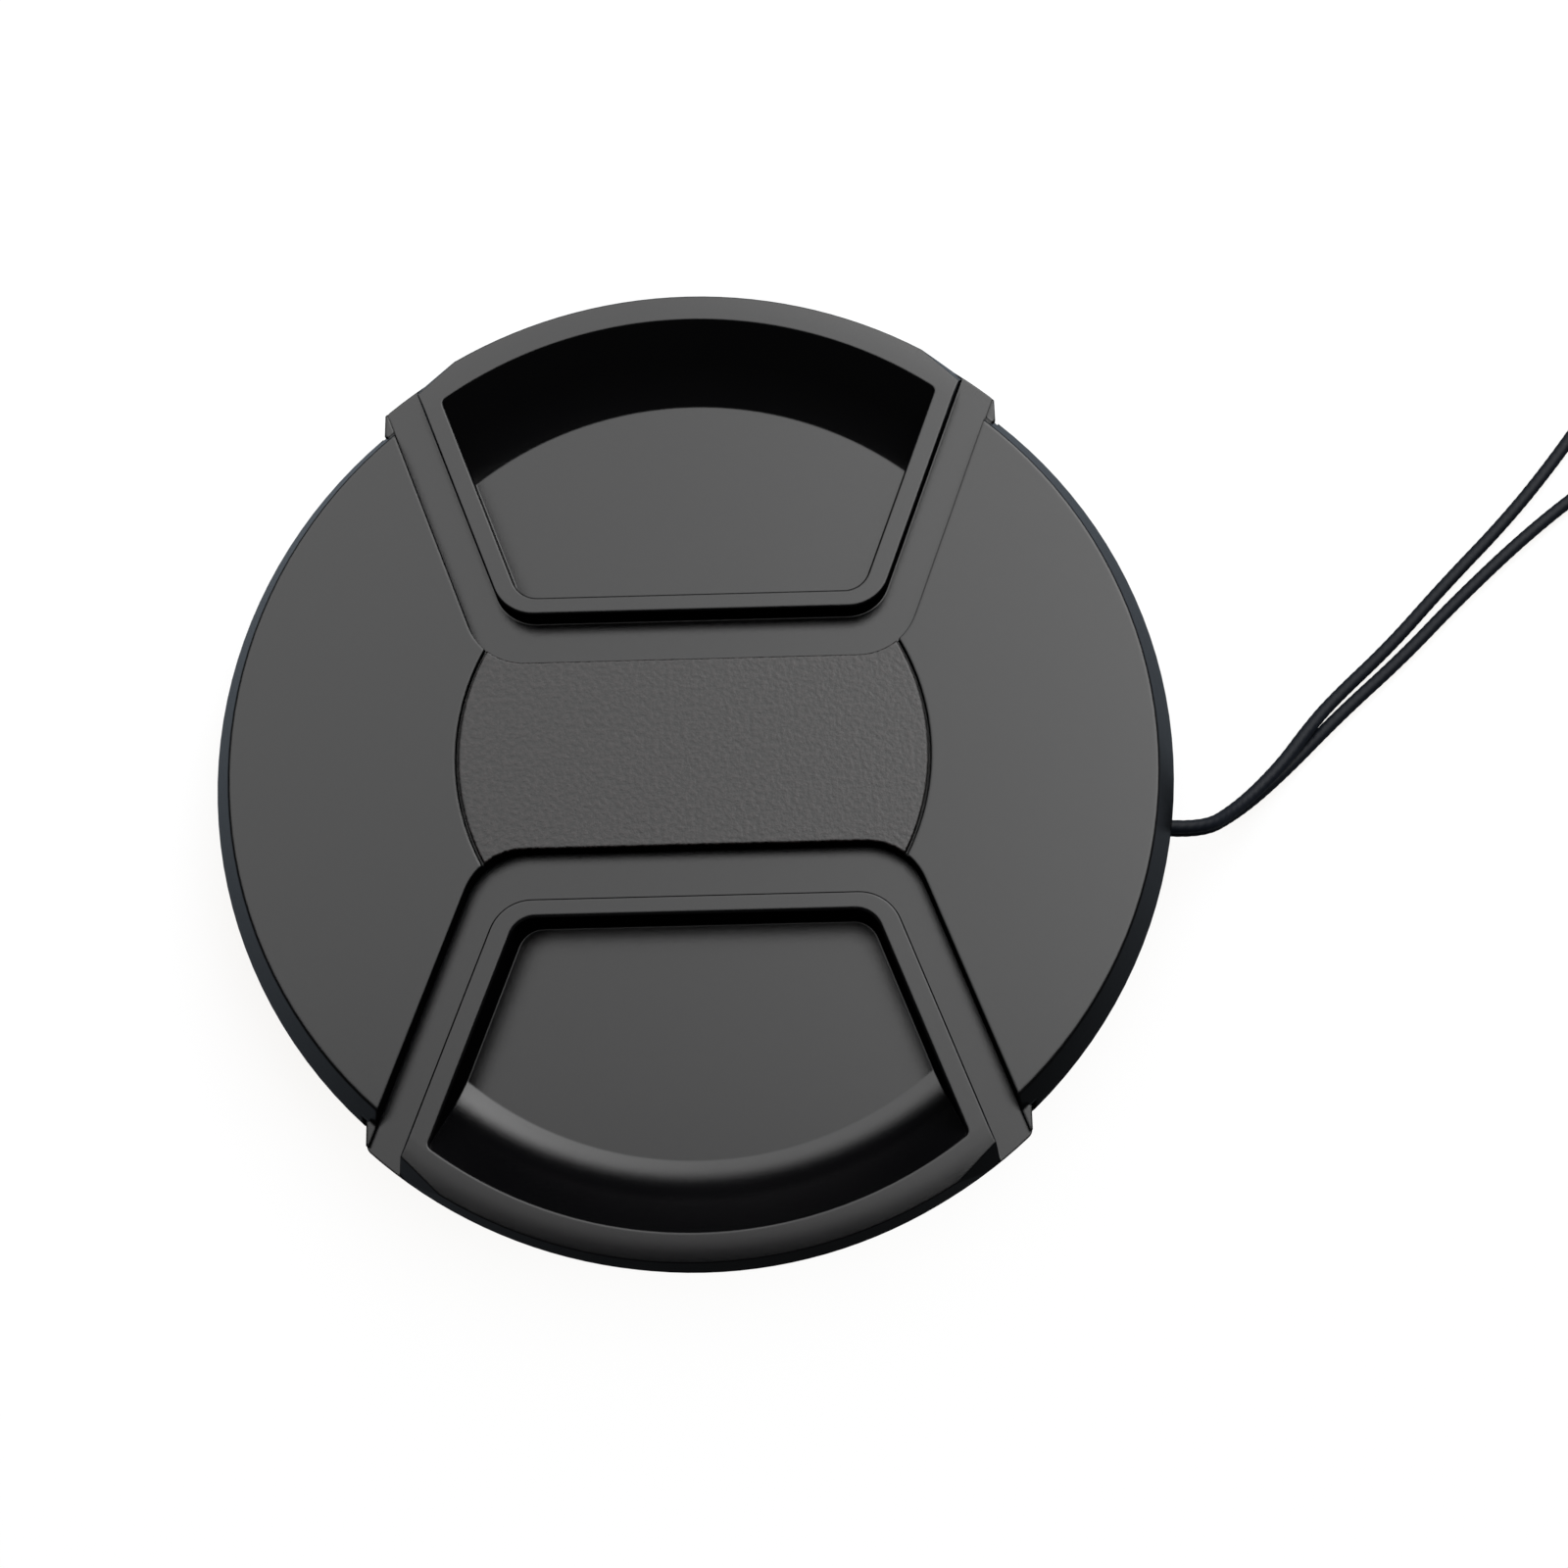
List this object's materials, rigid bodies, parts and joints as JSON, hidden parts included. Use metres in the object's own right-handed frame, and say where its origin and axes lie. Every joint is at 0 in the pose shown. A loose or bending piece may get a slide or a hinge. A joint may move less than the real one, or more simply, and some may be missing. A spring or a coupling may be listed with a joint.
{
  "type": "camera lens cap",
  "caption": "Round front lens cap with sprung centre-pinch keys in trapezoid cut-outs, hooks behind that grip the filter thread, a bare round field and a thin looped keeper string.",
  "frame": {"origin": "middle of the cap on the surface it lies on, under the rear edge of the spigot", "axes": "+Z out of the front face, Y along the travel of the two keys, X to the side where the string leaves"},
  "size_m": [0.1191, 0.0738, 0.0099],
  "materials": {
    "black_abs": "satin, finely grained moulded ABS",
    "black_key_plastic": "satin moulded acetal",
    "spring_steel": "bright drawn wire",
    "black_nylon": "fine twisted yarn"
  },
  "bodies": {
    "cap": {"front_cover": "black_abs", "rear_plate": "black_abs", "upper_spring": "spring_steel", "lower_spring": "spring_steel", "keeper_string": "black_nylon", "string_knot": "black_nylon"},
    "upper_key": {"upper_key": "black_key_plastic"},
    "lower_key": {"lower_key": "black_key_plastic"}
  },
  "joints": [
    {"name": "upper_key_slide", "type": "slide", "parent": "cap", "child": "upper_key", "axis": [0, -1, 0], "range_m": [0, 0.0026], "stiffness_N_per_m": 800, "springref_m": -0.003, "deforming": ["upper_spring"]},
    {"name": "lower_key_slide", "type": "slide", "parent": "cap", "child": "lower_key", "axis": [0, 1, 0], "range_m": [0, 0.0026], "stiffness_N_per_m": 800, "springref_m": -0.003, "deforming": ["lower_spring"]}
  ]
}
